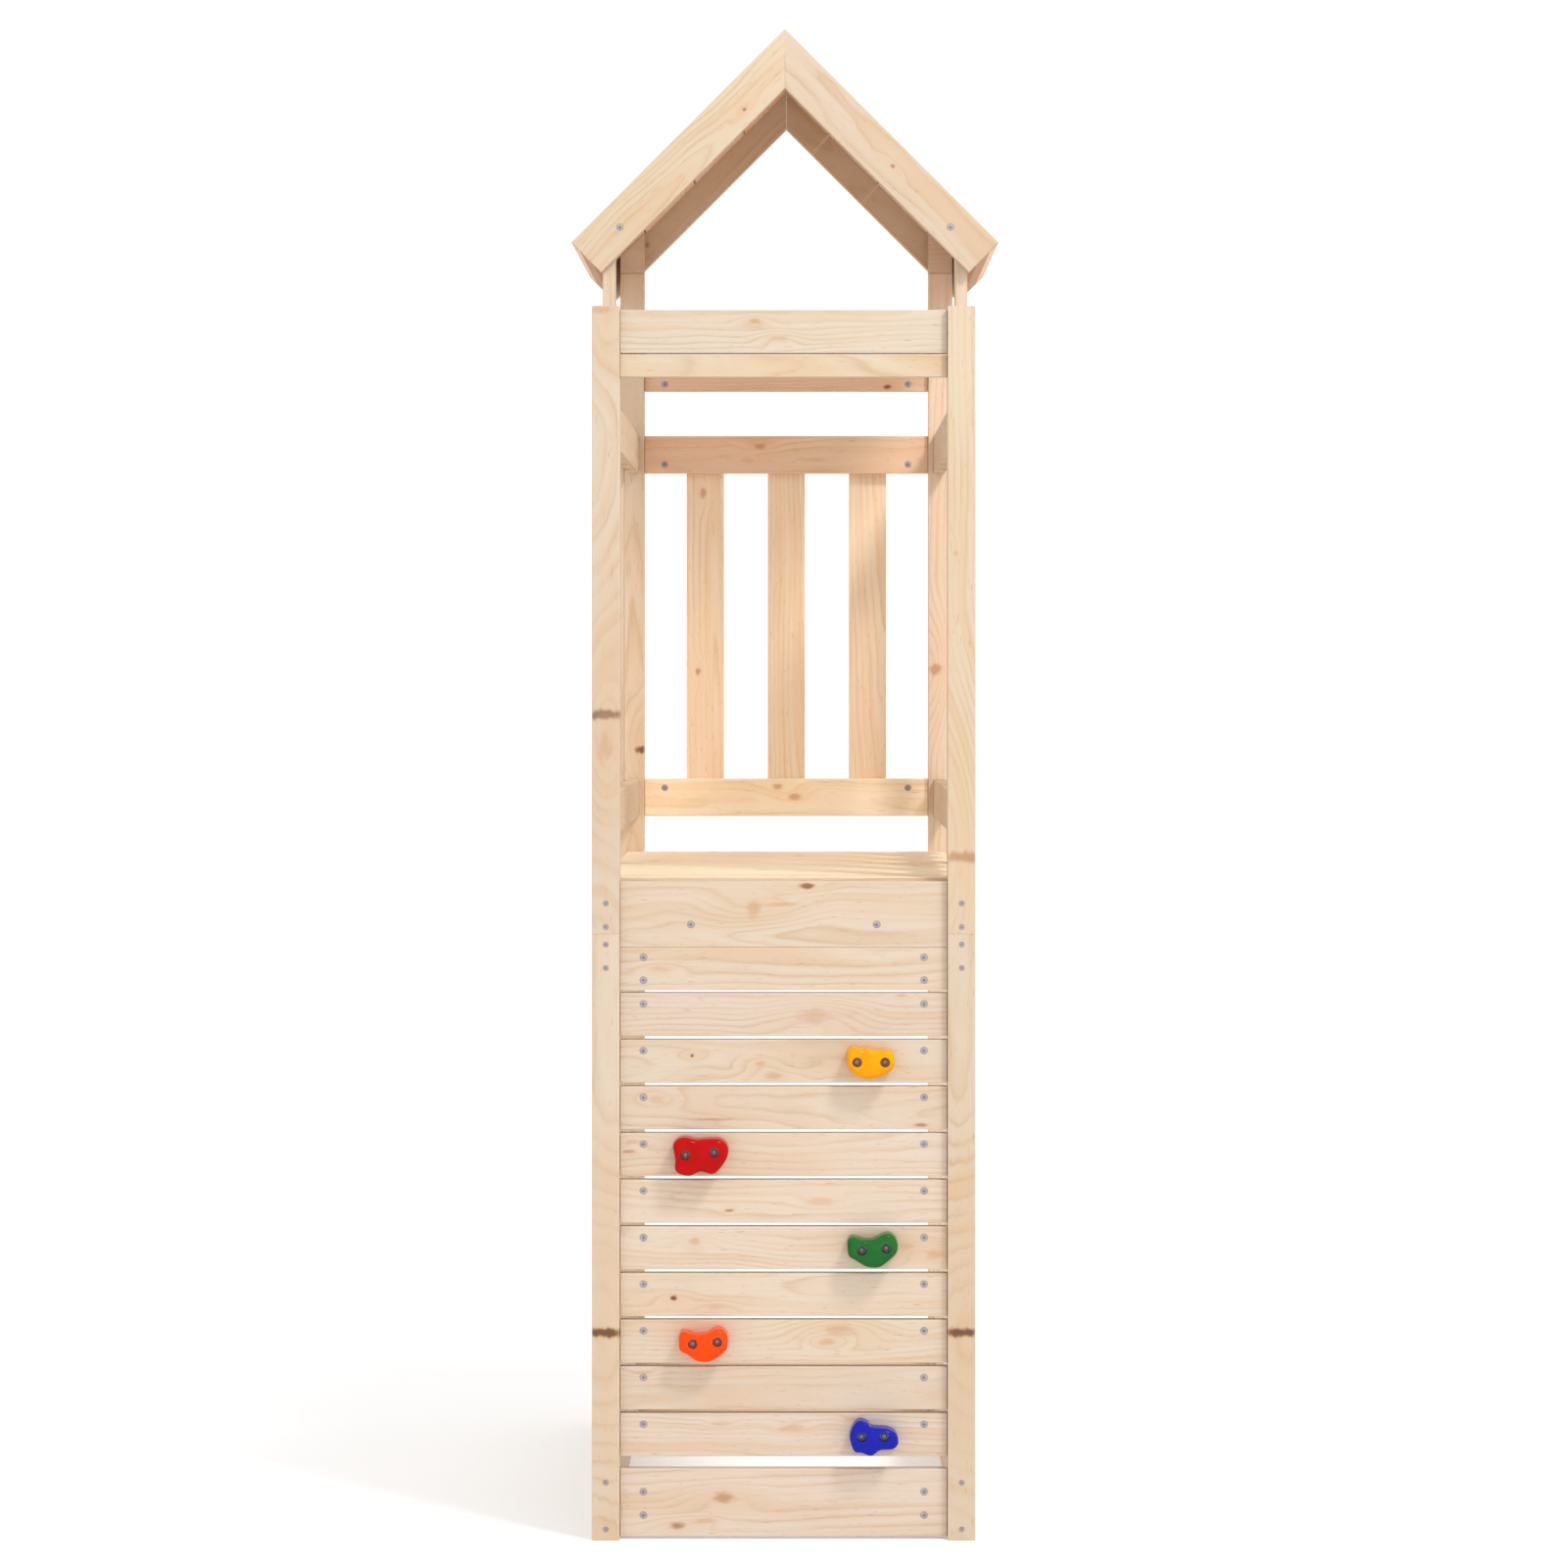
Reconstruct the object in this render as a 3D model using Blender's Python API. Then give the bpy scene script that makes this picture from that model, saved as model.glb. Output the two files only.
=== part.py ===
"""Rock climbing wall with a roofed look-out platform, modelled as separate boards, posts and grips.

Metres, +Z up. The climbing side faces -Y. The origin is on the ground, at the middle of the outline.
"""

import math

import bmesh
import bpy
from mathutils import Matrix, Vector

# Timber sections
POST = 0.037
BOARD = 0.017
PLANK = 0.0577
WIDE_BOARD = 0.0875
KICK_BOARD = 0.0904
EDGE_EASE = 0.0015
GAP = 0.0004

# Plan sizes
CLEAR_WIDTH = 0.439
CLEAR_DEPTH = 0.8235

# Heights of the climbing side
FRONT_POST_HEIGHT = 1.651
KICK_BOTTOM = 0.0037
FIRST_PLANK = 0.1108
PLANK_COUNT = 10
PLANK_GAP = 0.00485
UPPER_PLANK_GAP = 0.0036
HEADER_STRIP = 0.0296
HEADER_SEAM = 0.0022
HEADER_DROP = 0.0046

# Deck
DECK_BOARDS = 9
DECK_SEAM = 0.0035
DECK_PROUD = 0.0045
BEARER = 0.0577
SLOT_END = 0.006

# Guards
GUARD_TOP = 1.527
GUARD_BOTTOM = 0.9395
REAR_BALUSTERS = 3
REAR_BALUSTER_PITCH = 0.1258
SIDE_BALUSTERS_PER_BAY = 2
BALUSTER_SET_IN = 0.006
SIDE_SET_IN = 0.0018

# Rear frame and roof
REAR_POST_HEIGHT = 1.7775
REAR_HEADER_BOTTOM = 1.596
EAVE_HEIGHT = 1.7777
FRONT_GABLE = 0.062
REAR_GABLE = 0.0577
ROOF_BOARDS = 4
ROOF_SEAM = 0.003
EAVE_STRIP = 0.027
EAVE_CLEARANCE = 0.0022
UPRIGHT_HEAD_ROOM = 0.004

# Grips
GRIP_DEPTH = 0.030
GRIP_STEPS = 4
GRIP_EDGE = 0.008
GRIP_RINGS = 4
BOLT_HOLE = 0.0066
BOLT_HOLE_DEPTH = 0.012
BOLT_HOLE_SIDES = 16

PINE = (0.80, 0.62, 0.42)
PINE_WARM = (0.76, 0.55, 0.34)

# Each grip in millimetres: its plank, its middle's place from the centre line and above the plank's
# middle, the right-hand bolt's place from that middle (the left one mirrors it), its colour, and the
# points that its outline curves through, anticlockwise from the left.
GRIPS = {
    "blue_grip": (
        1,
        (119.1, 1.7),
        (15.1, 0.2),
        (0.015, 0.025, 0.30),
        [
            (-30.9, 0.3), (-29.1, -10.2), (-24.4, -20.2), (-13.9, -22.3), (-2.1, -25.9),
            (9.7, -18.6), (26.7, -16.8), (33.8, -8.9), (31.2, 3.4), (20.2, 10.2),
            (-0.8, 12.3), (-7.3, 18.1), (-17.8, 21.2), (-27.0, 13.4),
        ],
    ),
    "orange_grip": (
        3,
        (-104.7, 2.1),
        (16.4, 1.3),
        (0.80, 0.14, 0.01),
        [
            (-34.8, 0.9), (-33.6, -10.3), (-23.1, -16.5), (-9.4, -25.2), (8.0, -24.7),
            (26.6, -11.6), (30.3, -1.6), (29.1, 11.3), (20.9, 18.3), (11.7, 17.0),
            (0.5, 11.3), (-14.4, 10.8), (-28.1, 15.0), (-33.8, 11.3),
        ],
    ),
    "green_grip": (
        5,
        (120.6, 1.7),
        (16.2, 1.4),
        (0.020, 0.13, 0.025),
        [
            (-35.5, 0.6), (-33.4, -9.6), (-25.3, -14.7), (-10.0, -23.6), (6.6, -24.4),
            (20.7, -14.7), (30.9, -3.2), (30.1, 12.1), (20.7, 20.6), (10.5, 18.5),
            (-1.0, 12.9), (-15.1, 12.9), (-28.3, 16.5), (-34.7, 12.1),
        ],
    ),
    "red_grip": (
        7,
        (-111.9, 4.0),
        (19.1, 1.8),
        (0.60, 0.005, 0.006),
        [
            (-32.9, -7.7), (-31.9, -23.7), (-15.3, -30.1), (1.3, -24.3), (16.6, -27.6),
            (26.8, -20.4), (36.5, -5.1), (37.5, 8.9), (28.1, 18.9), (11.5, 19.7),
            (-3.8, 18.4), (-18.6, 21.7), (-29.9, 19.1), (-35.7, 10.2),
        ],
    ),
    "yellow_grip": (
        9,
        (116.7, 1.0),
        (18.6, 0.0),
        (0.85, 0.43, 0.01),
        [
            (-32.6, 1.7), (-29.4, -8.1), (-22.1, -16.7), (-1.2, -22.8), (19.6, -16.7),
            (30.7, -5.6), (30.2, 10.3), (22.1, 15.9), (4.9, 15.9), (-5.6, 18.9),
            (-13.5, 17.4), (-24.5, 20.4), (-31.2, 14.0),
        ],
    ),
}
MM = 0.001

# Places that follow from the sizes above
HALF_CLEAR = CLEAR_WIDTH / 2
POST_MIDDLE = HALF_CLEAR + POST / 2
BOARD_RECESS = (POST - BOARD) / 2
GRIP_REACH = GRIP_DEPTH + GAP - BOARD_RECESS
OVERALL_DEPTH = GRIP_REACH + POST + CLEAR_DEPTH + POST + GAP + BOARD
FRONT = -OVERALL_DEPTH / 2 + GRIP_REACH
POST_BACK = FRONT + POST
REAR = POST_BACK + CLEAR_DEPTH
REAR_BACK = REAR + POST
BOARD_FACE = FRONT + BOARD_RECESS
PITCH = PLANK + PLANK_GAP
UPPER_PLANK_BOTTOM = FIRST_PLANK + PLANK_COUNT * PITCH - PLANK_GAP + UPPER_PLANK_GAP
SILL_BOTTOM = UPPER_PLANK_BOTTOM + PLANK + GAP
SILL_TOP = SILL_BOTTOM + WIDE_BOARD
DECK_TOP = SILL_TOP + DECK_PROUD
MIDDLE_DEPTH = (POST_BACK + REAR) / 2
SIDE_MIDDLE = POST_MIDDLE - SIDE_SET_IN
SIDE_INNER = SIDE_MIDDLE - BOARD / 2
SIDE_OUTER = SIDE_MIDDLE + BOARD / 2
UPRIGHT_OUTER = SIDE_OUTER + GAP + BOARD
EAVE_OVERHANG = (2 * BOARD + GAP + EAVE_STRIP) / math.sqrt(2) + EAVE_CLEARANCE
ROOF_HALF_WIDTH = UPRIGHT_OUTER + EAVE_OVERHANG
ROOF_TOP = EAVE_HEIGHT + ROOF_HALF_WIDTH
ROOF_LENGTH = ROOF_HALF_WIDTH * math.sqrt(2)


def clear_scene():
    for obj in list(bpy.data.objects):
        bpy.data.objects.remove(obj, do_unlink=True)


def finish_material(name, colour, roughness, metallic=0.0):
    material = bpy.data.materials.new(name)
    material.use_nodes = True
    shader = material.node_tree.nodes["Principled BSDF"]
    shader.inputs["Base Color"].default_value = (*colour, 1.0)
    shader.inputs["Roughness"].default_value = roughness
    shader.inputs["Metallic"].default_value = metallic
    return material


def add_object(name, shape, material, at=(0, 0, 0)):
    """Turns a bmesh into a named object with one material."""
    bmesh.ops.recalc_face_normals(shape, faces=shape.faces)
    mesh = bpy.data.meshes.new(name)
    shape.to_mesh(mesh)
    shape.free()
    mesh.materials.append(material)
    obj = bpy.data.objects.new(name, mesh)
    obj.location = at
    bpy.context.scene.collection.objects.link(obj)
    return obj


def ease_edges(obj, width=EDGE_EASE):
    bevel = obj.modifiers.new("eased_edges", "BEVEL")
    bevel.width = width
    bevel.segments = 1
    bevel.limit_method = "ANGLE"


def add_board(name, low, high, colour=PINE):
    """A straight piece of timber from its lowest to its highest corner, with eased edges."""
    low, high = Vector(low), Vector(high)
    shape = bmesh.new()
    bmesh.ops.create_cube(shape, size=1.0)
    bmesh.ops.scale(shape, vec=high - low, verts=shape.verts)
    obj = add_object(name, shape, finish_material(name + "_pine", colour, 0.6), (low + high) / 2)
    ease_edges(obj)
    return obj


def add_section(name, outline, front, back, colour=PINE):
    """A piece whose outline, given in X and Z, runs from front to back."""
    shape = bmesh.new()
    face = shape.faces.new([shape.verts.new((x, front, z)) for x, z in outline])
    grown = bmesh.ops.extrude_face_region(shape, geom=[face])
    moved = [item for item in grown["geom"] if isinstance(item, bmesh.types.BMVert)]
    bmesh.ops.translate(shape, vec=(0, back - front, 0), verts=moved)
    return add_object(name, shape, finish_material(name + "_pine", colour, 0.6))


def across_front(name, bottom, height, face=BOARD_FACE):
    """A board between the two posts of one side, with its front face at a given depth."""
    reach = HALF_CLEAR - GAP
    return add_board(name, (-reach, face, bottom), (reach, face + BOARD, bottom + height))


def make_posts():
    for side, sign in (("left", -1), ("right", 1)):
        outer, inner = sign * (HALF_CLEAR + POST), sign * HALF_CLEAR
        low, high = min(outer, inner), max(outer, inner)
        add_board(f"front_post_{side}", (low, FRONT, 0), (high, POST_BACK, FRONT_POST_HEIGHT))
        add_board(f"rear_post_{side}", (low, REAR, 0), (high, REAR_BACK, REAR_POST_HEIGHT))


def make_climbing_wall():
    across_front("front_kick_board", KICK_BOTTOM, KICK_BOARD)
    for index in range(PLANK_COUNT):
        across_front(f"climbing_plank_{index + 1:02d}", FIRST_PLANK + index * PITCH, PLANK)
    across_front("upper_plank", UPPER_PLANK_BOTTOM, PLANK)
    across_front("sill_board", SILL_BOTTOM, WIDE_BOARD)


def make_headers():
    header_bottom = FRONT_POST_HEIGHT - HEADER_DROP - PLANK
    across_front("front_header_board", header_bottom, PLANK)
    across_front("front_header_strip", header_bottom - HEADER_SEAM - HEADER_STRIP, HEADER_STRIP)
    across_front("rear_header_rail", REAR_HEADER_BOTTOM, PLANK, REAR + BOARD_RECESS)


def make_deck():
    """Boards on two side bearers, as one panel slotted between the boards."""
    front, back = POST_BACK + GAP, REAR - GAP
    top, under = DECK_TOP, DECK_TOP - BOARD
    foot = under - BEARER
    reach, inner = SIDE_OUTER, SIDE_INNER
    outline = [
        (-reach, top),
        (-reach, foot),
        (-inner, foot),
        (-inner, under),
        (inner, under),
        (inner, foot),
        (reach, foot),
        (reach, top),
    ]
    deck = add_section("deck", outline, front, back, PINE_WARM)
    pitch = (back - front) / DECK_BOARDS
    slots = bmesh.new()
    for index in range(1, DECK_BOARDS):
        made = bmesh.ops.create_cube(slots, size=1.0)["verts"]
        size = (2 * (inner - SLOT_END), DECK_SEAM, 3 * BOARD)
        bmesh.ops.scale(slots, vec=size, verts=made)
        bmesh.ops.translate(slots, vec=(0, front + index * pitch, top - BOARD / 2), verts=made)
    cutter = add_object("deck_slots", slots, deck.data.materials[0])
    cutter.hide_render = True
    cutter.display_type = "WIRE"
    cut = deck.modifiers.new("slots_between_boards", "BOOLEAN")
    cut.operation = "DIFFERENCE"
    cut.object = cutter


def make_rear_guard():
    face = REAR + BOARD_RECESS
    across_front("rear_kick_board", KICK_BOTTOM, KICK_BOARD, face)
    across_front("rear_guard_bottom_rail", GUARD_BOTTOM, PLANK, face)
    across_front("rear_guard_top_rail", GUARD_TOP - PLANK, PLANK, face)
    near = face + BOARD + GAP
    for index in range(REAR_BALUSTERS):
        middle = (index - (REAR_BALUSTERS - 1) / 2) * REAR_BALUSTER_PITCH
        add_board(
            f"rear_baluster_{index + 1}",
            (middle - PLANK / 2, near, GUARD_BOTTOM + BALUSTER_SET_IN),
            (middle + PLANK / 2, near + BOARD, GUARD_TOP - BALUSTER_SET_IN),
        )


def side_board(name, sign, near_x, bottom, top, front, back, colour=PINE):
    """A board standing on edge along one side. near_x is its inner face's distance from the centre line."""
    x_values = sorted((sign * near_x, sign * (near_x + BOARD)))
    return add_board(name, (x_values[0], front, bottom), (x_values[1], back, top), colour)


def make_side(side, sign):
    """Kick board, guard rails, balusters and the upright that carries the roof's front, on one side."""
    inner = SIDE_INNER
    front, back = POST_BACK + GAP, REAR - GAP
    side_board(f"{side}_kick_board", sign, inner, KICK_BOTTOM, FIRST_PLANK + PLANK, front, back)
    side_board(f"{side}_guard_bottom_rail", sign, inner, GUARD_BOTTOM, GUARD_BOTTOM + PLANK, front, back)
    side_board(f"{side}_guard_top_rail", sign, inner, GUARD_TOP - PLANK, GUARD_TOP, front, back)
    outer = SIDE_OUTER + GAP
    roof_under = ROOF_TOP - BOARD * math.sqrt(2) - (outer + BOARD)
    foot = DECK_TOP - BOARD - BEARER
    side_board(
        f"{side}_roof_upright",
        sign,
        outer,
        foot,
        roof_under - UPRIGHT_HEAD_ROOM,
        MIDDLE_DEPTH - PLANK / 2,
        MIDDLE_DEPTH + PLANK / 2,
    )
    bay = (REAR - POST_BACK - PLANK) / 2
    space = (bay - SIDE_BALUSTERS_PER_BAY * PLANK) / (SIDE_BALUSTERS_PER_BAY + 1)
    number = 1
    for bay_front in (POST_BACK, MIDDLE_DEPTH + PLANK / 2):
        for index in range(SIDE_BALUSTERS_PER_BAY):
            start = bay_front + space + index * (PLANK + space)
            side_board(
                f"{side}_baluster_{number}",
                sign,
                outer,
                GUARD_BOTTOM + BALUSTER_SET_IN,
                GUARD_TOP - BALUSTER_SET_IN,
                start,
                start + PLANK,
            )
            number += 1


def slope_point(sign, along, under):
    """A point of one roof slope, by its distance down the slope and below the slope's top face."""
    return (sign * (along - under) / math.sqrt(2), ROOF_TOP - (along + under) / math.sqrt(2))


def make_roof():
    gable_front = MIDDLE_DEPTH - PLANK / 2 - GAP - BOARD
    gable_back = REAR_BACK + GAP
    gables = (("front_gable", gable_front, FRONT_GABLE), ("rear_gable", gable_back, REAR_GABLE))
    for name, front, width in gables:
        chevron = [
            slope_point(1, 0, 0),
            slope_point(1, ROOF_LENGTH, 0),
            slope_point(1, ROOF_LENGTH, width),
            slope_point(1, width, width),
            slope_point(-1, ROOF_LENGTH, width),
            slope_point(-1, ROOF_LENGTH, 0),
        ]
        ease_edges(add_section(name, chevron, front, front + BOARD))
    front, back = gable_front + BOARD + GAP, gable_back - GAP
    pitch = ROOF_LENGTH / ROOF_BOARDS
    for side, sign in (("left", -1), ("right", 1)):
        for index in range(ROOF_BOARDS):
            top_end = index * pitch + ROOF_SEAM / 2
            low_end = (index + 1) * pitch - (ROOF_SEAM / 2 if index < ROOF_BOARDS - 1 else 0)
            inner_end = max(top_end, BOARD + ROOF_SEAM / 2)
            outline = [
                slope_point(sign, top_end, 0),
                slope_point(sign, low_end, 0),
                slope_point(sign, low_end, BOARD),
                slope_point(sign, inner_end, BOARD),
            ]
            ease_edges(add_section(f"{side}_roof_board_{index + 1}", outline, front, back, PINE_WARM))
        under = BOARD + GAP
        outline = [
            slope_point(sign, ROOF_LENGTH - BOARD, under),
            slope_point(sign, ROOF_LENGTH, under),
            slope_point(sign, ROOF_LENGTH, under + EAVE_STRIP),
            slope_point(sign, ROOF_LENGTH - BOARD, under + EAVE_STRIP),
        ]
        ease_edges(add_section(f"{side}_eave_strip", outline, front, back))


def curve_through(points, steps):
    """Points of a closed smooth curve through the given ones, with a number of steps between each two."""
    count = len(points)
    curve = []
    for index in range(count):
        before, here, after, beyond = (Vector(points[(index + shift) % count]) for shift in (-1, 0, 1, 2))
        for step in range(steps):
            t = step / steps
            pull = (after - before) * t + (2 * before - 5 * here + 4 * after - beyond) * t**2
            curve.append(here + (pull + (3 * here - before - 3 * after + beyond) * t**3) / 2)
    return curve


def make_grip(name, plank, middle, bolt, colour, outline):
    """A moulded grip: curved outline, rounded rim, flat face and two bolt holes."""
    curve = [point * MM for point in curve_through(outline, GRIP_STEPS)]
    profile = [(0.0, 0.0)]
    for step in range(GRIP_RINGS + 1):
        turn = step / GRIP_RINGS * math.pi / 2
        profile.append((GRIP_EDGE * (1 - math.cos(turn)), GRIP_DEPTH - GRIP_EDGE * (1 - math.sin(turn))))
    shape = bmesh.new()
    rings = []
    for inset, height in profile:
        places = [point * (1 - inset / point.length) for point in curve]
        rings.append([shape.verts.new((place.x, -height, place.y)) for place in places])
    count = len(curve)
    for lower, upper in zip(rings, rings[1:]):
        for index in range(count):
            after = (index + 1) % count
            shape.faces.new([lower[index], lower[after], upper[after], upper[index]])
    shape.faces.new(rings[0])
    shape.faces.new(rings[-1])
    plank_middle = FIRST_PLANK + (plank - 1) * PITCH + PLANK / 2
    place = (middle[0] * MM, BOARD_FACE - GAP, plank_middle + middle[1] * MM)
    grip = add_object(name, shape, finish_material(name + "_plastic", colour, 0.3), place)
    holes = bmesh.new()
    towards_front = Matrix.Rotation(math.pi / 2, 3, "X")
    for side in (-1, 1):
        made = bmesh.ops.create_cone(
            holes,
            cap_ends=True,
            segments=BOLT_HOLE_SIDES,
            radius1=BOLT_HOLE,
            radius2=BOLT_HOLE,
            depth=2 * BOLT_HOLE_DEPTH,
        )["verts"]
        bmesh.ops.rotate(holes, matrix=towards_front, verts=made)
        bmesh.ops.translate(holes, vec=(side * bolt[0] * MM, -GRIP_DEPTH, side * bolt[1] * MM), verts=made)
    cutter = add_object(name + "_holes", holes, grip.data.materials[0], place)
    cutter.hide_render = True
    cutter.display_type = "WIRE"
    cut = grip.modifiers.new("bolt_holes", "BOOLEAN")
    cut.operation = "DIFFERENCE"
    cut.object = cutter


def main():
    clear_scene()
    make_posts()
    make_climbing_wall()
    make_headers()
    make_deck()
    make_rear_guard()
    for side, sign in (("left", -1), ("right", 1)):
        make_side(side, sign)
    make_roof()
    for name, grip in GRIPS.items():
        make_grip(name, *grip)


main()
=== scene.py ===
"""Rock climbing wall with a roofed look-out platform: the finished timber, screws and moulded grips.

It is laid out as an add-on, with one operator for each group of pieces, and runs as a script round the
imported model. Metres, +Z up, the climbing side facing -Y.
"""

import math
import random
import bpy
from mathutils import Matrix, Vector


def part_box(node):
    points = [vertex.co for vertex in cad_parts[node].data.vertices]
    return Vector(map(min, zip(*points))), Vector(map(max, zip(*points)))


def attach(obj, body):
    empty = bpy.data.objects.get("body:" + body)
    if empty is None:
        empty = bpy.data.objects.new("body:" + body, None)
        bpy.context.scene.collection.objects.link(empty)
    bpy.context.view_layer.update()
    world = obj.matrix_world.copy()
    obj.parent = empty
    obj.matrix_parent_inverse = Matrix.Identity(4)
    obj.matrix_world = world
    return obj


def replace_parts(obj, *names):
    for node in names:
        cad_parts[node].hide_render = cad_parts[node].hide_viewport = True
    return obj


bl_info = {
    "name": "Climbing wall tower",
    "version": (1, 0, 0),
    "blender": (4, 5, 0),
    "location": "3D View > Sidebar > Climbing wall",
    "description": "Makes the boards, posts, screws and moulded grips of a small climbing wall",
    "category": "Object",
}

import bmesh
import bpy
from bpy.props import FloatProperty, FloatVectorProperty, IntProperty, PointerProperty
from bpy.types import Operator, Panel, PropertyGroup
from mathutils import Matrix, Vector

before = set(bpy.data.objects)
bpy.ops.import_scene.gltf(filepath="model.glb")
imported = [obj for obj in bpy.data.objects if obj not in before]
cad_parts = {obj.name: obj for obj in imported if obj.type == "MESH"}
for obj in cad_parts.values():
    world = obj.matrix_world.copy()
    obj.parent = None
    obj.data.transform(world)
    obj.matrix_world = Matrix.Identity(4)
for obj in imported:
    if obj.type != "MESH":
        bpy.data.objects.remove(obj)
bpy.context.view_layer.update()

ROOT = "root"
MM = 0.001
RIGHT, BACK, UP = Vector((1, 0, 0)), Vector((0, 1, 0)), Vector((0, 0, 1))
SLOPE = math.radians(45)

# Places of the frame that several pieces share
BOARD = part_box("sill_board")[1].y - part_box("sill_board")[0].y
POST_MIDDLE = sum(painted_highlight_edge.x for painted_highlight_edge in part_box("front_post_right")) / 2
SCREW_INSET = POST_MIDDLE - 0.050
ROOF_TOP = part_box("front_gable")[1].z
ROOF_LENGTH = (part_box("front_gable")[1].x) * math.sqrt(2)
POST_SPLICE = 0.811
SCREW_STEP = 0.016
SNUG = 0.0004
EAVE_STRIP = 0.027

# Knots and resin stains that stand out, by piece: distance from the centre line, height, half length along
# the grain, half width across it, and how dark the heart is, from 0.2 for a pale stain to 1 for a dead knot.
KNOTS = {
    "upper_plank": [(-0.1650, 0.7640, 0.014, 0.0050, 0.20)],
    "climbing_plank_10": [(0.0425, 0.7000, 0.024, 0.0110, 0.34), (0.1580, 0.7275, 0.010, 0.0035, 0.45)],
    "climbing_plank_09": [
        (-0.1226, 0.6474, 0.0034, 0.0032, 1.0),
        (-0.0309, 0.6369, 0.007, 0.0050, 0.45),
        (-0.0152, 0.6199, 0.012, 0.0060, 0.45),
    ],
    "climbing_plank_08": [
        (-0.0950, 0.5620, 0.034, 0.0022, 0.55),
        (0.1840, 0.5540, 0.012, 0.0032, 0.70),
        (-0.1700, 0.5890, 0.012, 0.0060, 0.25),
    ],
    "climbing_plank_07": [(-0.2080, 0.5190, 0.010, 0.0030, 0.60), (-0.2000, 0.5320, 0.012, 0.0040, 0.35)],
    "climbing_plank_06": [(-0.0720, 0.4400, 0.009, 0.0026, 0.70), (0.0520, 0.4520, 0.020, 0.0060, 0.25)],
    "climbing_plank_05": [
        (-0.1190, 0.3985, 0.009, 0.0055, 0.50),
        (0.1650, 0.3920, 0.014, 0.0060, 0.40),
        (0.2010, 0.3800, 0.012, 0.0080, 0.40),
    ],
    "climbing_plank_04": [(-0.1470, 0.3225, 0.0060, 0.0046, 1.0), (-0.0900, 0.3120, 0.018, 0.0040, 0.30)],
    "climbing_plank_03": [(0.0740, 0.2800, 0.022, 0.0100, 0.42), (0.0560, 0.2640, 0.012, 0.0050, 0.40)],
    "climbing_plank_02": [(-0.1900, 0.2230, 0.016, 0.0036, 0.25)],
    "climbing_plank_01": [
        (0.0105, 0.1480, 0.020, 0.0048, 0.42),
        (-0.0830, 0.1540, 0.016, 0.0034, 0.35),
        (0.0920, 0.1600, 0.012, 0.0030, 0.30),
    ],
    "front_kick_board": [
        (-0.0800, 0.0560, 0.017, 0.0085, 0.62),
        (-0.1440, 0.0180, 0.013, 0.0060, 0.72),
        (-0.1080, 0.0240, 0.020, 0.0040, 0.40),
    ],
    "sill_board": [
        (0.0312, 0.8745, 0.0120, 0.0056, 0.86),
        (-0.0400, 0.8430, 0.0110, 0.0120, 0.46),
        (-0.0050, 0.8500, 0.026, 0.0030, 0.42),
    ],
    "front_header_board": [(-0.0388, 1.6312, 0.0090, 0.0040, 0.52), (-0.0060, 1.6080, 0.016, 0.0050, 0.25)],
    "front_post_left_upper": [
        (-0.2392, 1.1040, 0.0085, 0.0330, 1.0),
        (-0.2392, 1.0600, 0.0200, 0.0120, 0.30),
        (-0.2440, 1.6460, 0.0060, 0.0160, 0.45),
    ],
    "front_post_left_lower": [(-0.2392, 0.2780, 0.0080, 0.0320, 1.0)],
    "front_post_right_lower": [(0.2376, 0.2780, 0.0080, 0.0320, 1.0)],
    "front_post_right_upper": [(0.2376, 0.9140, 0.0090, 0.0330, 0.62), (0.2300, 1.3200, 0.004, 0.0030, 0.40)],
    "rear_guard_top_rail": [(-0.0414, 1.5116, 0.0120, 0.0050, 0.60), (-0.0600, 1.4900, 0.014, 0.0040, 0.30)],
    "rear_guard_bottom_rail": [
        (-0.0127, 0.9845, 0.0100, 0.0060, 0.62),
        (0.0120, 0.9694, 0.0120, 0.0060, 0.62),
    ],
    "rear_header_rail": [(0.1560, 1.6030, 0.0090, 0.0050, 0.90)],
    "rear_post_left": [(-0.2228, 1.0423, 0.0075, 0.0120, 0.95)],
    "rear_post_right": [(0.2300, 1.1660, 0.0100, 0.0140, 0.62)],
    "front_gable_left": [(-0.1450, 1.8560, 0.018, 0.0090, 0.50), (-0.1560, 1.8350, 0.014, 0.0060, 0.50)],
    "front_gable_right": [(0.2030, 1.8180, 0.014, 0.0050, 0.60), (0.2140, 1.7900, 0.010, 0.0040, 0.50)],
}

# How each group of boards is tinted against the plain front planks: over 1 is lighter, under 1 darker. Some
# of these tints are painted light and painted shade, as marked below; the rest are the wood's own tone.
TONES_AND_PAINTED_LIGHT = {
    "front_post": (0.94, 0.925, 0.885),
    # Painted light: the rear posts are lightened as if lit, though they stand back in the shade of the roof
    # and sides.
    "rear_post": (1.12, 1.07, 0.99),
    "packing_block": (0.97, 0.92, 0.86),
    "header_board": (0.91, 0.95, 0.97),
    "header_strip": (0.94, 0.93, 0.87),
    # Painted light: the deck boards are lightened as if lit, those under the roof more than the front one.
    "first_deck_board": (1.18, 1.20, 1.12),
    "deck_board": (1.36, 1.40, 1.32),
    # Painted light: the rear rails, the rear bottom rail and the rear balusters are lightened as if lit,
    # though they stand in shade.
    "rear_rail": (1.20, 1.04, 0.92),
    "rear_bottom_rail": (1.48, 1.52, 1.44),
    "rear_baluster": (1.40, 1.36, 1.24),
    "deck_bearer": (0.97, 0.93, 0.86),
    "side_rail": (0.98, 0.93, 0.86),
    "side_baluster": (0.99, 0.96, 0.91),
    "gable": (0.92, 0.90, 0.85),
    # Painted shade: the roof boards are made more orange, and the eave strips darker and browner, for the
    # shade under the roof.
    "roof_board": (1.22, 0.97, 0.82),
    "eave_strip": (0.66, 0.42, 0.25),
}

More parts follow.
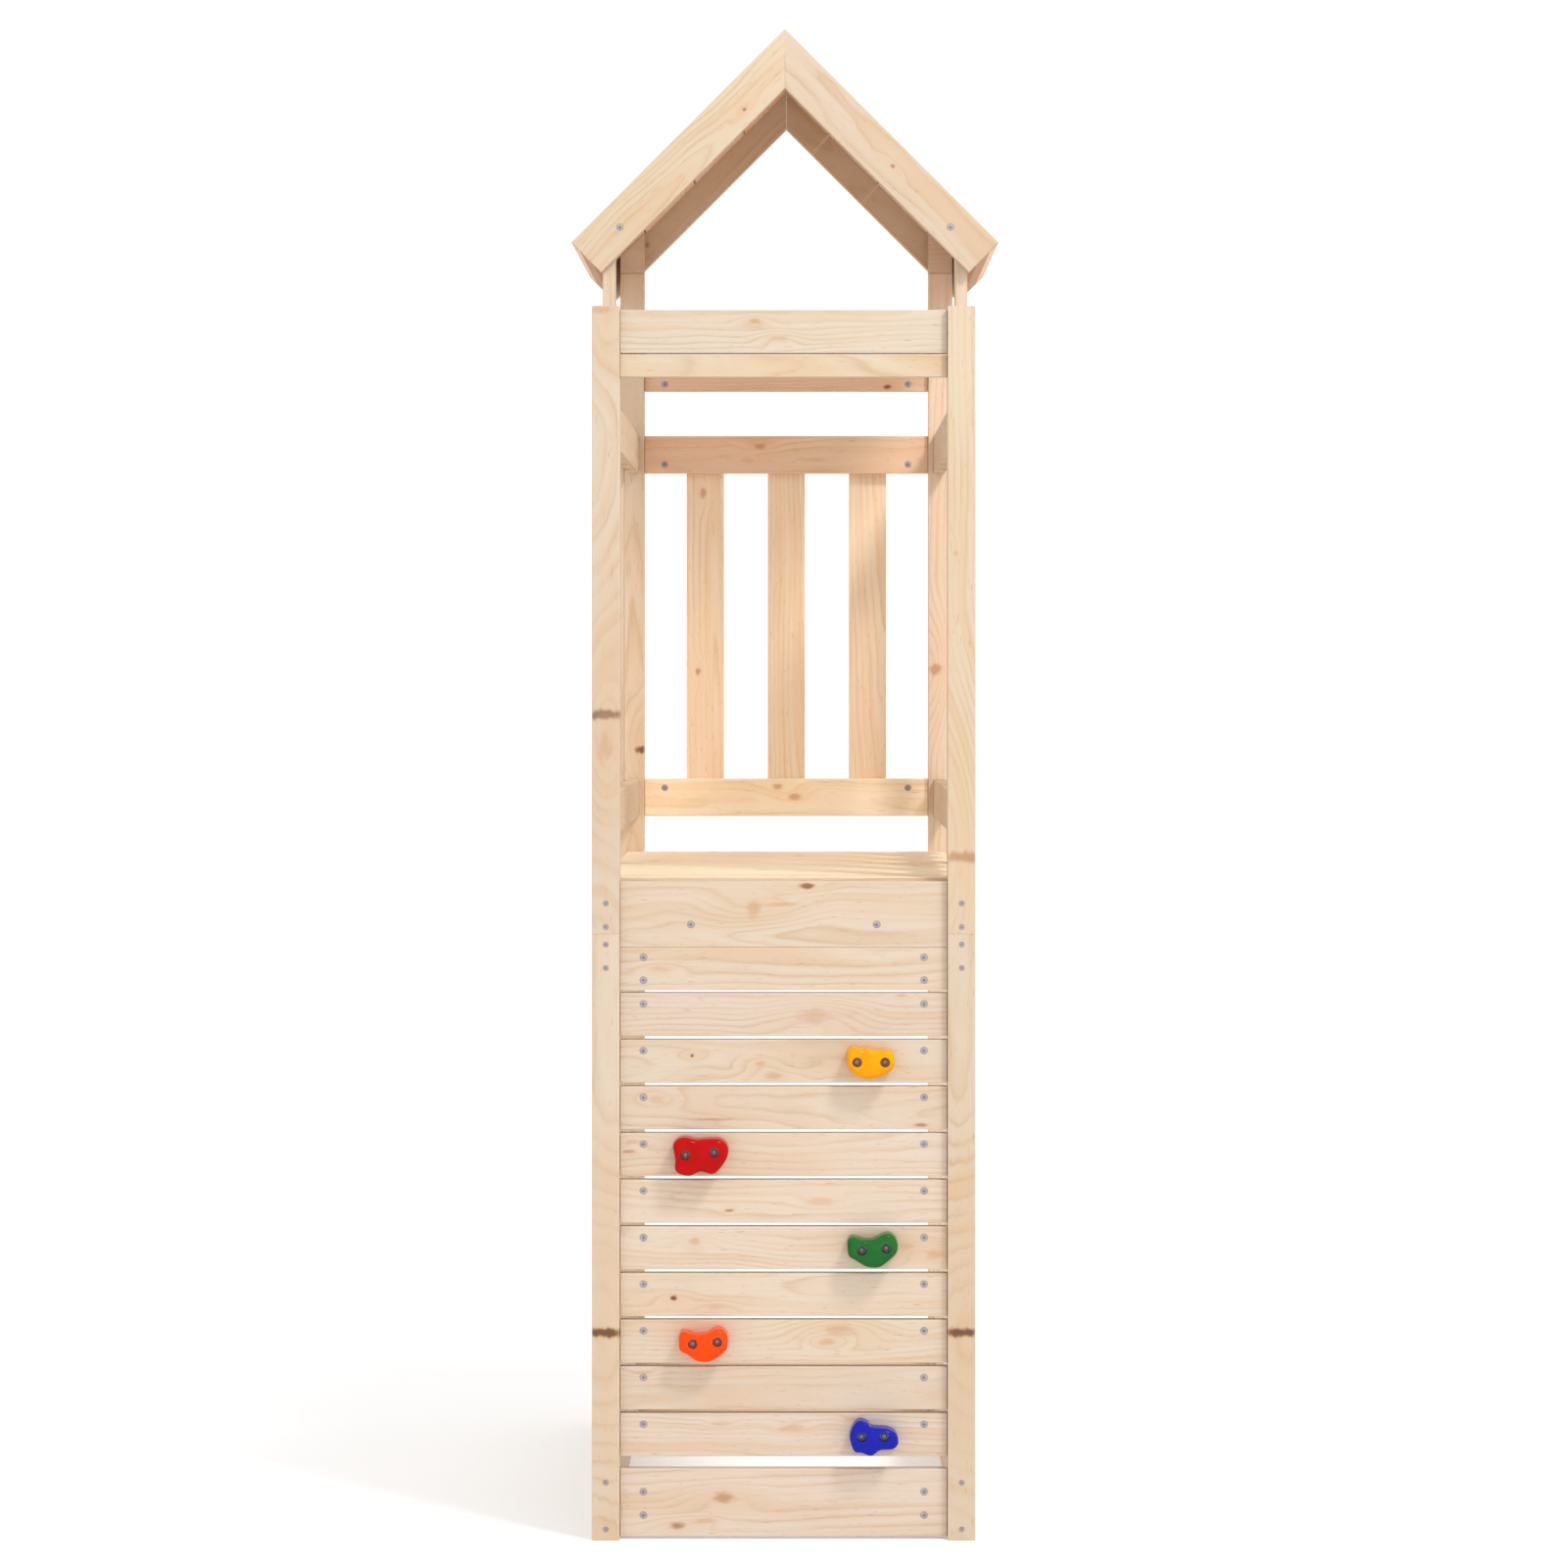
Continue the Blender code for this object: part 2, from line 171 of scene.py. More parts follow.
# Heights of the screws in the front posts' faces, and of those in the wall boards' faces.
POST_SCREWS = (0.0147, 0.0770, 0.7653, 0.7967, 0.8202, 0.8517)
KICK_SCREWS = (0.0317, 0.0631)
UPPER_PLANK_SCREWS = (0.7483, 0.7790)

# Each grip in millimetres: the right-hand bolt's place from the grip's middle (the left one mirrors it),
# and the points that its outline curves through, anticlockwise from the left.
GRIPS = {
    "blue": (
        (15.1, 0.2),
        [
            (-30.9, 0.3), (-29.1, -10.2), (-24.4, -20.2), (-13.9, -22.3), (-2.1, -25.9),
            (9.7, -18.6), (26.7, -16.8), (33.8, -8.9), (31.2, 3.4), (20.2, 10.2),
            (-0.8, 12.3), (-7.3, 18.1), (-17.8, 21.2), (-27.0, 13.4),
        ],
    ),
    "orange": (
        (16.4, 1.3),
        [
            (-34.8, 0.9), (-33.6, -10.3), (-23.1, -16.5), (-9.4, -25.2), (8.0, -24.7),
            (26.6, -11.6), (30.3, -1.6), (29.1, 11.3), (20.9, 18.3), (11.7, 17.0),
            (0.5, 11.3), (-14.4, 10.8), (-28.1, 15.0), (-33.8, 11.3),
        ],
    ),
    "green": (
        (16.2, 1.4),
        [
            (-35.5, 0.6), (-33.4, -9.6), (-25.3, -14.7), (-10.0, -23.6), (6.6, -24.4),
            (20.7, -14.7), (30.9, -3.2), (30.1, 12.1), (20.7, 20.6), (10.5, 18.5),
            (-1.0, 12.9), (-15.1, 12.9), (-28.3, 16.5), (-34.7, 12.1),
        ],
    ),
    "red": (
        (19.1, 1.8),
        [
            (-32.9, -7.7), (-31.9, -23.7), (-15.3, -30.1), (1.3, -24.3), (16.6, -27.6),
            (26.8, -20.4), (36.5, -5.1), (37.5, 8.9), (28.1, 18.9), (11.5, 19.7),
            (-3.8, 18.4), (-18.6, 21.7), (-29.9, 19.1), (-35.7, 10.2),
        ],
    ),
    "yellow": (
        (18.6, 0.0),
        [
            (-32.6, 1.7), (-29.4, -8.1), (-22.1, -16.7), (-1.2, -22.8), (19.6, -16.7),
            (30.7, -5.6), (30.2, 10.3), (22.1, 15.9), (4.9, 15.9), (-5.6, 18.9),
            (-13.5, 17.4), (-24.5, 20.4), (-31.2, 14.0),
        ],
    ),
}


# ---------------------------------------------------------------- sizes and colours


def colour(name, description, default):
    return FloatVectorProperty(
        name=name, description=description, default=default, subtype="COLOR", size=3, min=0.0, max=1.0
    )


def length(name, description, default):
    return FloatProperty(name=name, description=description, default=default, unit="LENGTH", min=0.0)


def steps(name, description, default):
    return IntProperty(name=name, description=description, default=default, min=1)


class TimberLook(PropertyGroup):
    pale: colour("Pale wood", "Colour of the soft wood between the growth lines", (0.640, 0.535, 0.432))
    growth_line: colour("Growth line", "Colour of the hard, late wood", (0.515, 0.350, 0.215))
    warm: colour("Warm zone", "Tint of the resin-rich zones", (0.625, 0.455, 0.315))
    stain: colour("Stain", "Colour of the wood round a knot", (0.500, 0.250, 0.120))
    knot: colour("Dead knot", "Colour of the heart of a dead knot", (0.115, 0.045, 0.022))
    ring: length("Ring spacing", "Distance between two growth lines", 0.0072)
    edge: length("Eased edge", "Radius of every board's long and short edges", 0.0011)
    edge_steps: steps("Edge steps", "Faces across an eased edge", 3)


class ScrewLook(PropertyGroup):
    board_head: length("Board screw head", "Head radius of the screws in the boards", 0.0049)
    post_head: length("Post screw head", "Head radius of the screws in the posts", 0.0034)
    sink: length("Sink", "How far a head lies below the wood", 0.0005)
    zinc: colour("Zinc", "Colour of the screws' plating", (0.370, 0.335, 0.365))


class GripLook(PropertyGroup):
    blue: colour("Blue grip", "Colour of the lowest grip", (0.010, 0.014, 0.36))
    orange: colour("Orange grip", "Colour of the second grip", (0.88, 0.062, 0.002))
    green: colour("Green grip", "Colour of the third grip", (0.014, 0.125, 0.022))
    red: colour("Red grip", "Colour of the fourth grip", (0.44, 0.0020, 0.002))
    yellow: colour("Yellow grip", "Colour of the highest grip", (0.82, 0.32, 0.0015))
    rim: length("Rim radius", "Roundness of a grip's front rim", 0.008)
    recess: length("Recess", "Radius of the hole that a bolt head sits in", 0.0066)
    recess_depth: length("Recess depth", "Depth of that hole", 0.012)


class StageLook(PropertyGroup):
    floor: colour("Floor", "Colour of the plain floor", (0.74, 0.74, 0.74))
    sky: FloatProperty(name="Surroundings", description="Brightness of the white surroundings", default=1.08)
    key: FloatProperty(name="Key light", description="Power of the main light", default=135.0, unit="POWER")
    key_size: length("Key size", "Width of the main light", 0.95)


# ---------------------------------------------------------------- materials


class Wire:
    """An output in a material. Arithmetic on it adds the Math nodes."""

    def __init__(self, recipe, socket):
        self.recipe = recipe
        self.socket = socket

    def maths(self, operation, *values):
        return self.recipe.add("ShaderNodeMath", {"operation": operation}, dict(enumerate(values)))

    def other(self, output):
        """Another output of the same node."""
        return Wire(self.recipe, self.socket.node.outputs[output])

    def __add__(self, value):
        return self.maths("ADD", self, value)

    def __radd__(self, value):
        return self.maths("ADD", value, self)

    def __sub__(self, value):
        return self.maths("SUBTRACT", self, value)

    def __rsub__(self, value):
        return self.maths("SUBTRACT", value, self)

    def __mul__(self, value):
        return self.maths("MULTIPLY", self, value)

    def __rmul__(self, value):
        return self.maths("MULTIPLY", value, self)

    def __truediv__(self, value):
        return self.maths("DIVIDE", self, value)

    def __pow__(self, value):
        return self.maths("POWER", self, value)

    def __abs__(self):
        return self.maths("ABSOLUTE", self)

    def root(self):
        return self.maths("SQRT", self)

    def fraction(self):
        return self.maths("FRACT", self)

    def least(self, value):
        return self.maths("MINIMUM", self, value)

    def most(self, value):
        return self.maths("MAXIMUM", self, value)

    def fade(self, start, end, low=0.0, high=1.0):
        """Low at start, high at end, with a soft step between; it takes the places in either order."""
        if start > end:
            start, end, low, high = end, start, high, low
        values = {"Value": self, "From Min": start, "From Max": end, "To Min": low, "To Max": high}
        return self.recipe.add("ShaderNodeMapRange", {"interpolation_type": "SMOOTHSTEP"}, values)


class Recipe:
    """A material being written."""

    def __init__(self, name):
        self.material = bpy.data.materials.new(name)
        self.material.use_nodes = True
        self.tree = self.material.node_tree
        self.tree.nodes.clear()

    def add(self, kind, settings=None, inputs=None, output=0):
        """Adds a node, sets it up, connects or fills its inputs, and gives one of its outputs."""
        node = self.tree.nodes.new(kind)
        for key, value in (settings or {}).items():
            if key == "stops":
                self.set_stops(node.color_ramp.elements, value)
            else:
                setattr(node, key, value)
        for key, value in (inputs or {}).items():
            if isinstance(value, Wire):
                self.tree.links.new(value.socket, node.inputs[key])
            else:
                node.inputs[key].default_value = value
        return Wire(self, node.outputs[output]) if node.outputs else None

    @staticmethod
    def set_stops(elements, stops):
        while len(elements) > 1:
            elements.remove(elements[-1])
        for index, (position, value) in enumerate(stops):
            stop = elements[0] if index == 0 else elements.new(position)
            stop.position = position
            stop.color = (value, value, value, 1.0)

    def place(self, middle, axes):
        """Distances along a piece, across it and through it, from its middle."""
        at = self.add("ShaderNodeTexCoord", output="Object")
        turn = axes.to_euler()
        values = {"Vector": at, "Location": middle, "Rotation": turn}
        return self.add("ShaderNodeMapping", {"vector_type": "TEXTURE"}, values)

    def stretched(self, vector, scale):
        return self.add("ShaderNodeVectorMath", {"operation": "MULTIPLY"}, {0: vector, 1: scale})

    def noise(self, vector, detail=2.0, roughness=0.5):
        """Smooth noise from 0 to 1, whose cell is one unit of the vector."""
        values = {"Vector": vector, "Scale": 1.0, "Detail": detail, "Roughness": roughness}
        return self.add("ShaderNodeTexNoise", {"noise_dimensions": "3D"}, values)

    def blend(self, factor, first, second, kind="MIX"):
        """Mixes two colours."""
        first, second = (c if isinstance(c, Wire) else (*c, 1.0) for c in (first, second))
        settings = {"data_type": "RGBA", "blend_type": kind}
        return self.add("ShaderNodeMix", settings, {0: factor, 6: first, 7: second}, 2)

    def finish(self, inputs, height=None, depth=0.0, strength=1.0):
        if height is not None:
            values = {"Height": height, "Distance": depth, "Strength": strength}
            inputs = {**inputs, "Normal": self.add("ShaderNodeBump", {}, values)}
        shader = self.add("ShaderNodeBsdfPrincipled", {}, inputs)
        self.add("ShaderNodeOutputMaterial", {}, {"Surface": shader})
        return self.material


def shaded(base, factors):
    return tuple(min(1.0, part * factor) for part, factor in zip(base, factors))


def pine(name, middle, axes, size, tint=(1.0, 1.0, 1.0), knots=()):
    """Planed pine with the grain along the piece's first axis.

    A knot is its place along and across the piece, its half length, its half width and how dark it is.
    """
    look = bpy.context.scene.tower_timber
    chance = random.Random(name)
    recipe = Recipe(name + "_pine")
    place = recipe.place(middle, axes)
    parts = recipe.add("ShaderNodeSeparateXYZ", {}, {"Vector": place})
    along, across, through = parts, parts.other("Y"), parts.other("Z")
    shift = Vector((chance.uniform(-40, 40), chance.uniform(-40, 40), chance.uniform(-40, 40)))
    moved = recipe.add("ShaderNodeVectorMath", {"operation": "ADD"}, {0: place, 1: shift})

    pith_across = chance.uniform(-0.8, 0.8) * size[1]
    pith_through = chance.choice((-1, 1)) * chance.uniform(0.010, 0.050)
    lean_across, lean_through = chance.uniform(-0.03, 0.03), chance.uniform(-0.05, 0.05)
    sideways = across - pith_across - along * lean_across
    inwards = through - pith_through - along * lean_through
    bend = recipe.noise(recipe.stretched(moved, (4.2, 15.0, 15.0)), 1.5)
    ripple = recipe.noise(recipe.stretched(moved, (22.0, 75.0, 75.0)), 2.0)
    wander = 0.009 if abs(axes.col[0].z) > 0.9 else 0.026
    radius = (sideways * sideways + inwards * inwards).root()
    radius = radius + (bend - 0.5) * wander + (ripple - 0.5) * 0.0034
    ragged = recipe.noise(recipe.stretched(moved, (60.0, 170.0, 170.0)), 3.0, 0.6)
    hearts = []
    for knot_along, knot_across, long, wide, dark in knots:
        beside, over = (along - knot_along) / long, (across - knot_across) / wide
        spread = (beside * beside + over * over).root()
        heart = spread + (ragged - 0.5) * (1.9 - dark * 0.9) + (ripple - 0.5) * 0.7
        reach = max(wide * 2.2, 0.006)
        near, close = (along - knot_along) / (reach * 3.2), (across - knot_across) / reach
        flow = (near * near + close * close).root()
        radius = radius + flow.fade(0.0, 1.5, 1.0, 0.0) * (reach * 0.9)
        hearts.append((heart, flow, dark))

    phase = (radius / (look.ring * chance.uniform(0.75, 1.35))).fraction()
    stops = [(0.0, 0.32), (0.14, 0.02), (0.50, 0.08), (0.76, 0.42), (0.90, 1.0), (0.96, 0.80), (1.0, 0.32)]
    late = recipe.add("ShaderNodeValToRGB", {"stops": stops}, {"Fac": phase})
    fading = recipe.noise(recipe.stretched(moved, (6.0, 26.0, 26.0)), 2.0)
    fibre = recipe.noise(recipe.stretched(moved, (16.0, 900.0, 900.0)), 3.0, 0.6)
    streak = recipe.noise(recipe.stretched(moved, (4.5, 190.0, 190.0)), 3.0, 0.55)
    zone = recipe.noise(recipe.stretched(moved, (3.0, 17.0, 17.0)), 2.0)
    blush = recipe.noise(recipe.stretched(moved, (11.0, 42.0, 42.0)), 3.0, 0.6)

    lightness = chance.uniform(0.955, 1.025)
    board_tint = (lightness * tint[0], lightness * tint[1], lightness * tint[2] * chance.uniform(0.965, 1.03))
    woods = (look.pale, look.growth_line, look.warm, look.stain)
    pale, line, warm, stain = (shaded(wood, board_tint) for wood in woods)
    rings = late * fading.fade(0.28, 0.70, 0.14, 0.70)
    places = {"X": radius * 95.0 + chance.uniform(0, 90), "Y": along * 1.5}
    flowing = recipe.add("ShaderNodeCombineXYZ", {}, places)
    bands = recipe.noise(flowing, 2.0, 0.6)
    body = recipe.blend(zone.fade(0.46, 0.74, 0.0, chance.uniform(0.25, 0.7)), pale, warm)
    body = recipe.blend(streak.fade(0.50, 0.80, 0.0, 0.34), body, warm)
    body = recipe.blend(bands.fade(0.44, 0.70, 0.0, 0.80), body, warm)
    body = recipe.blend(rings, body, line)
    body = recipe.blend(fibre.fade(0.35, 0.72, 0.0, 0.14), body, line)
    body = recipe.blend(blush.fade(0.64, 0.80, 0.0, chance.uniform(0.08, 0.30)), body, stain)
    ticks = recipe.noise(recipe.stretched(moved, (55.0, 620.0, 620.0)), 1.0)
    body = recipe.blend(ticks.fade(0.67, 0.79, 0.0, 0.50), body, shaded(line, (0.66, 0.52, 0.42)))

    for heart, flow, dark in hearts:
        body = recipe.blend(flow.fade(1.35, 0.25, 0.0, 0.30 + dark * 0.2), body, warm)
        body = recipe.blend(heart.fade(1.30, 0.30, 0.0, 0.10 + dark * 0.84), body, stain)
        if dark > 0.5:
            body = recipe.blend(heart.fade(0.95, 0.38, 0.0, (dark - 0.5) * 1.8), body, look.knot)

    half = [part / 2 for part in size]
    end = abs(along).fade(half[0] - 0.0009, half[0] - 0.0002)
    body = recipe.blend(end * (0.30 + late * 0.35), body, shaded(line, (0.85, 0.80, 0.75)))
    # Painted highlight: the board's long edges are lightened, as if the eased edges catch the light.
    painted_highlight_edge = (abs(across) - (half[1] - 0.0022)).least(abs(through) - (half[2] - 0.0022))
    body = recipe.blend(painted_highlight_edge.fade(0.0, 0.0016, 0.0, 0.30), body, shaded(pale, (1.06, 1.03, 0.98)))

    rough = 0.60 - late * 0.08 + fibre * 0.10 + end * 0.2
    relief = late * fading.fade(0.25, 0.75, 0.2, 0.8) * 0.5 + fibre * 0.7 + streak * 0.3
    values = {"Base Color": body, "Roughness": rough, "Specular IOR Level": 0.35}
    return recipe.finish(values, relief, 0.00035, 0.55)


def zinc(name, middle):
    """Zinc-plated steel with a dull, slightly lilac and cloudy sheen."""
    look = bpy.context.scene.tower_screws
    recipe = Recipe(name + "_zinc")
    place = recipe.place(middle, Matrix.Identity(3))
    cloud = recipe.noise(recipe.stretched(place, (160.0, 160.0, 160.0)), 3.0)
    fine = recipe.noise(recipe.stretched(place, (2400.0, 2400.0, 2400.0)), 2.0)
    darker, lighter = (0.88, 0.87, 0.88), (1.10, 1.08, 1.10)
    body = recipe.blend(cloud.fade(0.3, 0.7), shaded(look.zinc, darker), shaded(look.zinc, lighter))
    values = {"Base Color": body, "Metallic": 0.30, "Roughness": 0.50 + cloud * 0.15}
    return recipe.finish(values, fine, 0.0001, 0.25)


def moulded(name, middle, tone):
    """Glossy moulded plastic with a faint flow pattern, pitting and rubbed patches."""
    recipe = Recipe(name + "_plastic")
    place = recipe.place(middle, Matrix.Identity(3))
    flow = recipe.noise(recipe.stretched(place, (30.0, 30.0, 55.0)), 3.0)
    rubbed = recipe.noise(recipe.stretched(place, (70.0, 70.0, 70.0)), 4.0, 0.6)
    pitting = recipe.noise(recipe.stretched(place, (900.0, 900.0, 900.0)), 2.0)
    darker, lighter = (0.90, 0.88, 0.90), (1.08, 1.10, 1.08)
    body = recipe.blend(flow.fade(0.3, 0.7), shaded(tone, darker), shaded(tone, lighter))
    rough = 0.10 + rubbed.fade(0.45, 0.75, 0.0, 0.14) + pitting * 0.05
    values = {"Base Color": body, "Roughness": rough, "Specular IOR Level": 0.1}
    return recipe.finish(values, pitting * 0.4 + flow, 0.0004, 0.25)


# ---------------------------------------------------------------- shared shapes


def add_piece(name, shape, material, nodes=(), smooth_below=40.0):
    """Turns a shape, already in place, into a piece that rides on the frame."""
    mesh = bpy.data.meshes.new(name)
    shape.to_mesh(mesh)
    shape.free()
    mesh.materials.append(material)
    for face in mesh.polygons:
        face.use_smooth = True
    mesh.set_sharp_from_angle(angle=math.radians(smooth_below))
    piece = bpy.data.objects.new(name, mesh)
    bpy.context.scene.collection.objects.link(piece)
    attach(piece, ROOT)
    if nodes:
        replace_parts(piece, *nodes)
    return piece


def cut_away(piece, cutter_shape):
    """Takes a shape out of a piece for good."""
    mesh = bpy.data.meshes.new("cutter")
    cutter_shape.to_mesh(mesh)
    cutter_shape.free()
    cutter = bpy.data.objects.new("cutter", mesh)
    bpy.context.scene.collection.objects.link(cutter)
    cut = piece.modifiers.new("cut", "BOOLEAN")
    cut.operation = "DIFFERENCE"
    cut.solver = "EXACT"
    cut.object = cutter
    graph = bpy.context.evaluated_depsgraph_get()
    made = bpy.data.meshes.new_from_object(piece.evaluated_get(graph))
    piece.modifiers.remove(cut)
    old, piece.data = piece.data, made
    made.name = piece.name
    bpy.data.meshes.remove(old)
    bpy.data.objects.remove(cutter)
    bpy.data.meshes.remove(mesh)


def even_shading(piece):
    """Keeps broad faces flat in the light, with the shading turned only on the eased edges."""
    weights = piece.modifiers.new("even_shading", "WEIGHTED_NORMAL")
    weights.keep_sharp = True


def facing(outward):
    """Turns +Z to a direction."""
    return Vector(outward).to_track_quat("Z", "Y").to_matrix()


def countersinks(places, head):
    """Cones that make the screws' seats."""
    shape = bmesh.new()
    reach = head + 0.0007
    for point, outward in places:
        made = bmesh.ops.create_cone(
            shape, cap_ends=True, segments=20, radius1=reach * 0.42, radius2=reach * 1.18, depth=0.006
        )["verts"]
        bmesh.ops.rotate(shape, matrix=facing(outward), verts=made)
        bmesh.ops.translate(shape, vec=Vector(point) - Vector(outward) * 0.0015, verts=made)
    return shape


def timber(
    name,
    middle,
    size,
    grain,
    face,
    nodes=(),
    tint=(1.0, 1.0, 1.0),
    screws=(),
    head=None,
    cuts=(),
    knots=None,
    edge=None,
):
    """A straight board with eased edges and sunk screw seats. Size is its length, width and thickness.

    Grain is the direction of its length, and face the outward direction of its broad side. A cut is a point
    and a direction, and takes off everything on that side of the point.
    """
    look = bpy.context.scene.tower_timber
    along, through = Vector(grain).normalized(), Vector(face).normalized()
    across = through.cross(along)
    axes = Matrix((along, across, through)).transposed()
    middle = Vector(middle)
    shape = bmesh.new()
    bmesh.ops.create_cube(shape, size=1.0)
    bmesh.ops.scale(shape, vec=size, verts=shape.verts)
    bmesh.ops.transform(shape, matrix=Matrix.Translation(middle) @ axes.to_4x4(), verts=shape.verts)
    joints = []
    for point, outward in cuts:
        everything = shape.verts[:] + shape.edges[:] + shape.faces[:]
        done = bmesh.ops.bisect_plane(
            shape, geom=everything, plane_co=point, plane_no=outward, clear_outer=True, dist=1e-6
        )
        rim = [item for item in done["geom_cut"] if isinstance(item, bmesh.types.BMEdge)]
        bmesh.ops.edgeloop_fill(shape, edges=rim)
        joints += [(Vector(point), Vector(outward))]
    eased = [
        one
        for one in shape.edges
        if not any(all(abs((end.co - point).dot(way)) < 1e-5 for end in one.verts) for point, way in joints)
    ]
    bmesh.ops.bevel(
        shape,
        geom=eased,
        offset=edge or look.edge,
        offset_type="OFFSET",
        affect="EDGES",
        segments=look.edge_steps,
        profile=0.5,
        material=-1,
    )
    bmesh.ops.recalc_face_normals(shape, faces=shape.faces)
    if knots is None:
        found = [(Vector((x, middle.y, z)) - middle, *shape_of) for x, z, *shape_of in KNOTS.get(name, ())]
        knots = [(offset.dot(along), offset.dot(across), *shape_of) for offset, *shape_of in found]
    material = pine(name, middle, axes, size, tint, knots)
    piece = add_piece(name, shape, material, nodes)
    if screws:
        cut_away(piece, countersinks(screws, head or bpy.context.scene.tower_screws.board_head))
    even_shading(piece)
    return piece


def board(node, grain, face, name=None, stretch=None, **options):
    """A board in the place of one of the frame's, or in a part of that place."""
    low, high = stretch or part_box(node)
    along, through = Vector(grain), Vector(face)
    extent = Vector(high) - Vector(low)
    across = through.cross(along)
    size = [sum(abs(way[i]) * extent[i] for i in range(3)) for way in (along, across, through)]
    nodes = (node,) if node else ()
    return timber(name or node, (Vector(low) + Vector(high)) / 2, size, grain, face, nodes, **options)


def few_knots(name, half_length, half_width, most=2):
    """Places of the small knots of a board that has none of its own."""
    chance = random.Random("knots of " + name)
    found = []
    for _ in range(chance.randint(0, most)):
        wide = chance.uniform(0.0028, 0.0070)
        at = (chance.uniform(-0.8, 0.8) * half_length, chance.uniform(-0.7, 0.7) * half_width)
        found.append((*at, wide * chance.uniform(1.1, 2.2), wide, chance.uniform(0.35, 0.9)))
    return found


def add_screw(shape, point, outward, head):
    """One countersunk screw head with a cross recess, in about sixty faces."""
    made = bmesh.ops.create_cone(
        shape, cap_ends=True, segments=16, radius1=head * 0.45, radius2=head, depth=0.0032
    )["verts"]
    faces = {face for vert in made for face in vert.link_faces}
    top = max(faces, key=lambda face: face.calc_center_median().z)
    bmesh.ops.inset_individual(shape, faces=[top], thickness=head * 0.12, depth=0.00025)
    bmesh.ops.inset_individual(shape, faces=[top], thickness=head * 0.36, depth=0.0)
    for index, vert in enumerate(top.verts):
        if index % 4 > 1:
            vert.co.x *= 0.45
            vert.co.y *= 0.45
    grown = bmesh.ops.extrude_discrete_faces(shape, faces=[top])["faces"][0]
    bmesh.ops.translate(shape, vec=(0, 0, -0.0016), verts=grown.verts)
    bmesh.ops.scale(shape, vec=(0.7, 0.7, 1.0), verts=grown.verts)
    whole = {grown}
    edge_of = [grown]
    while edge_of:
        for edge in edge_of.pop().edges:
            for face in edge.link_faces:
                if face not in whole:
                    whole.add(face)
                    edge_of.append(face)
    verts = list({vert for face in whole for vert in face.verts})
    bmesh.ops.rotate(shape, matrix=facing(outward), verts=verts)
    return verts


def screw_set(name, places, head=None):
    """All the screws of one group of boards, as one piece."""
    look = bpy.context.scene.tower_screws
    head = head or look.board_head
    shape = bmesh.new()
    for point, outward in places:
        verts = add_screw(shape, point, outward, head)
        sunk = Vector(point) - Vector(outward) * (look.sink + 0.0018)
        bmesh.ops.translate(shape, vec=sunk, verts=verts)
    bmesh.ops.recalc_face_normals(shape, faces=shape.faces)
    middle = sum((Vector(point) for point, outward in places), Vector()) / len(places)
    return add_piece(name, shape, zinc(name, middle), smooth_below=30.0)


def sunk_pair(low, high, ends, face, heights):
    """Places of screws at both ends of a board, on the face with the given depth."""
    return [((x, face, z), -BACK) for x in ends for z in heights if low.x < x < high.x]


# ---------------------------------------------------------------- pieces


def post(node, name, half_length, screws=(), cuts=()):
    """A front or rear post, or the length of one that its cuts leave."""
    tint = TONES_AND_PAINTED_LIGHT["front_post" if node.startswith("front") else "rear_post"]
    options = {"screws": screws, "head": bpy.context.scene.tower_screws.post_head, "cuts": cuts, "tint": tint}
    if name not in KNOTS:
        options["knots"] = few_knots(name, half_length, 0.014, 3)
    return board(None, UP, -BACK, name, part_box(node), **options)


class TOWER_OT_front_posts(Operator):
    """Make the two front posts, each of two lengths that meet at the sill"""

    bl_idname = "tower.front_posts"
    bl_label = "Front posts"

    def execute(self, context):
        places = []
        for side in ("left", "right"):
            node = f"front_post_{side}"
            low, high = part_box(node)
            middle = (low.x + high.x) / 2
            screws = [((middle, low.y, z), -BACK) for z in POST_SCREWS]
            for half, way in (("lower", 1), ("upper", -1)):
                inside = [place for place in screws if (POST_SPLICE - place[0][2]) * way > 0]
                cuts = [((middle, 0, POST_SPLICE - way * 0.0001), UP * way)]
                piece = post(node, f"{node}_{half}", high.z / 2, inside, cuts)
                if half == "lower":
                    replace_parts(piece, node)
            places += screws
        screw_set("front_post_screws", places, context.scene.tower_screws.post_head)
        return {"FINISHED"}


class TOWER_OT_rear_posts(Operator):
    """Make the two rear posts, with the packing block on the head of each"""

    bl_idname = "tower.rear_posts"
    bl_label = "Rear posts"

    def execute(self, context):
        for side, sign in (("left", -1), ("right", 1)):
            node = f"rear_post_{side}"
            low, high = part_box(node)
            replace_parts(post(node, node, high.z / 2), node)
            out = slope_axes(sign)[1]
            roof = on_slope(sign, 0, BOARD + 0.0005, 0)
            block = (Vector((low.x, low.y, high.z + 0.0003)), Vector((high.x, high.y, high.z + 0.075)))
            name = f"packing_block_{side}"
            board(None, RIGHT, -BACK, name, block, tint=TONES_AND_PAINTED_LIGHT["packing_block"], cuts=[(roof, out)], knots=())
        return {"FINISHED"}


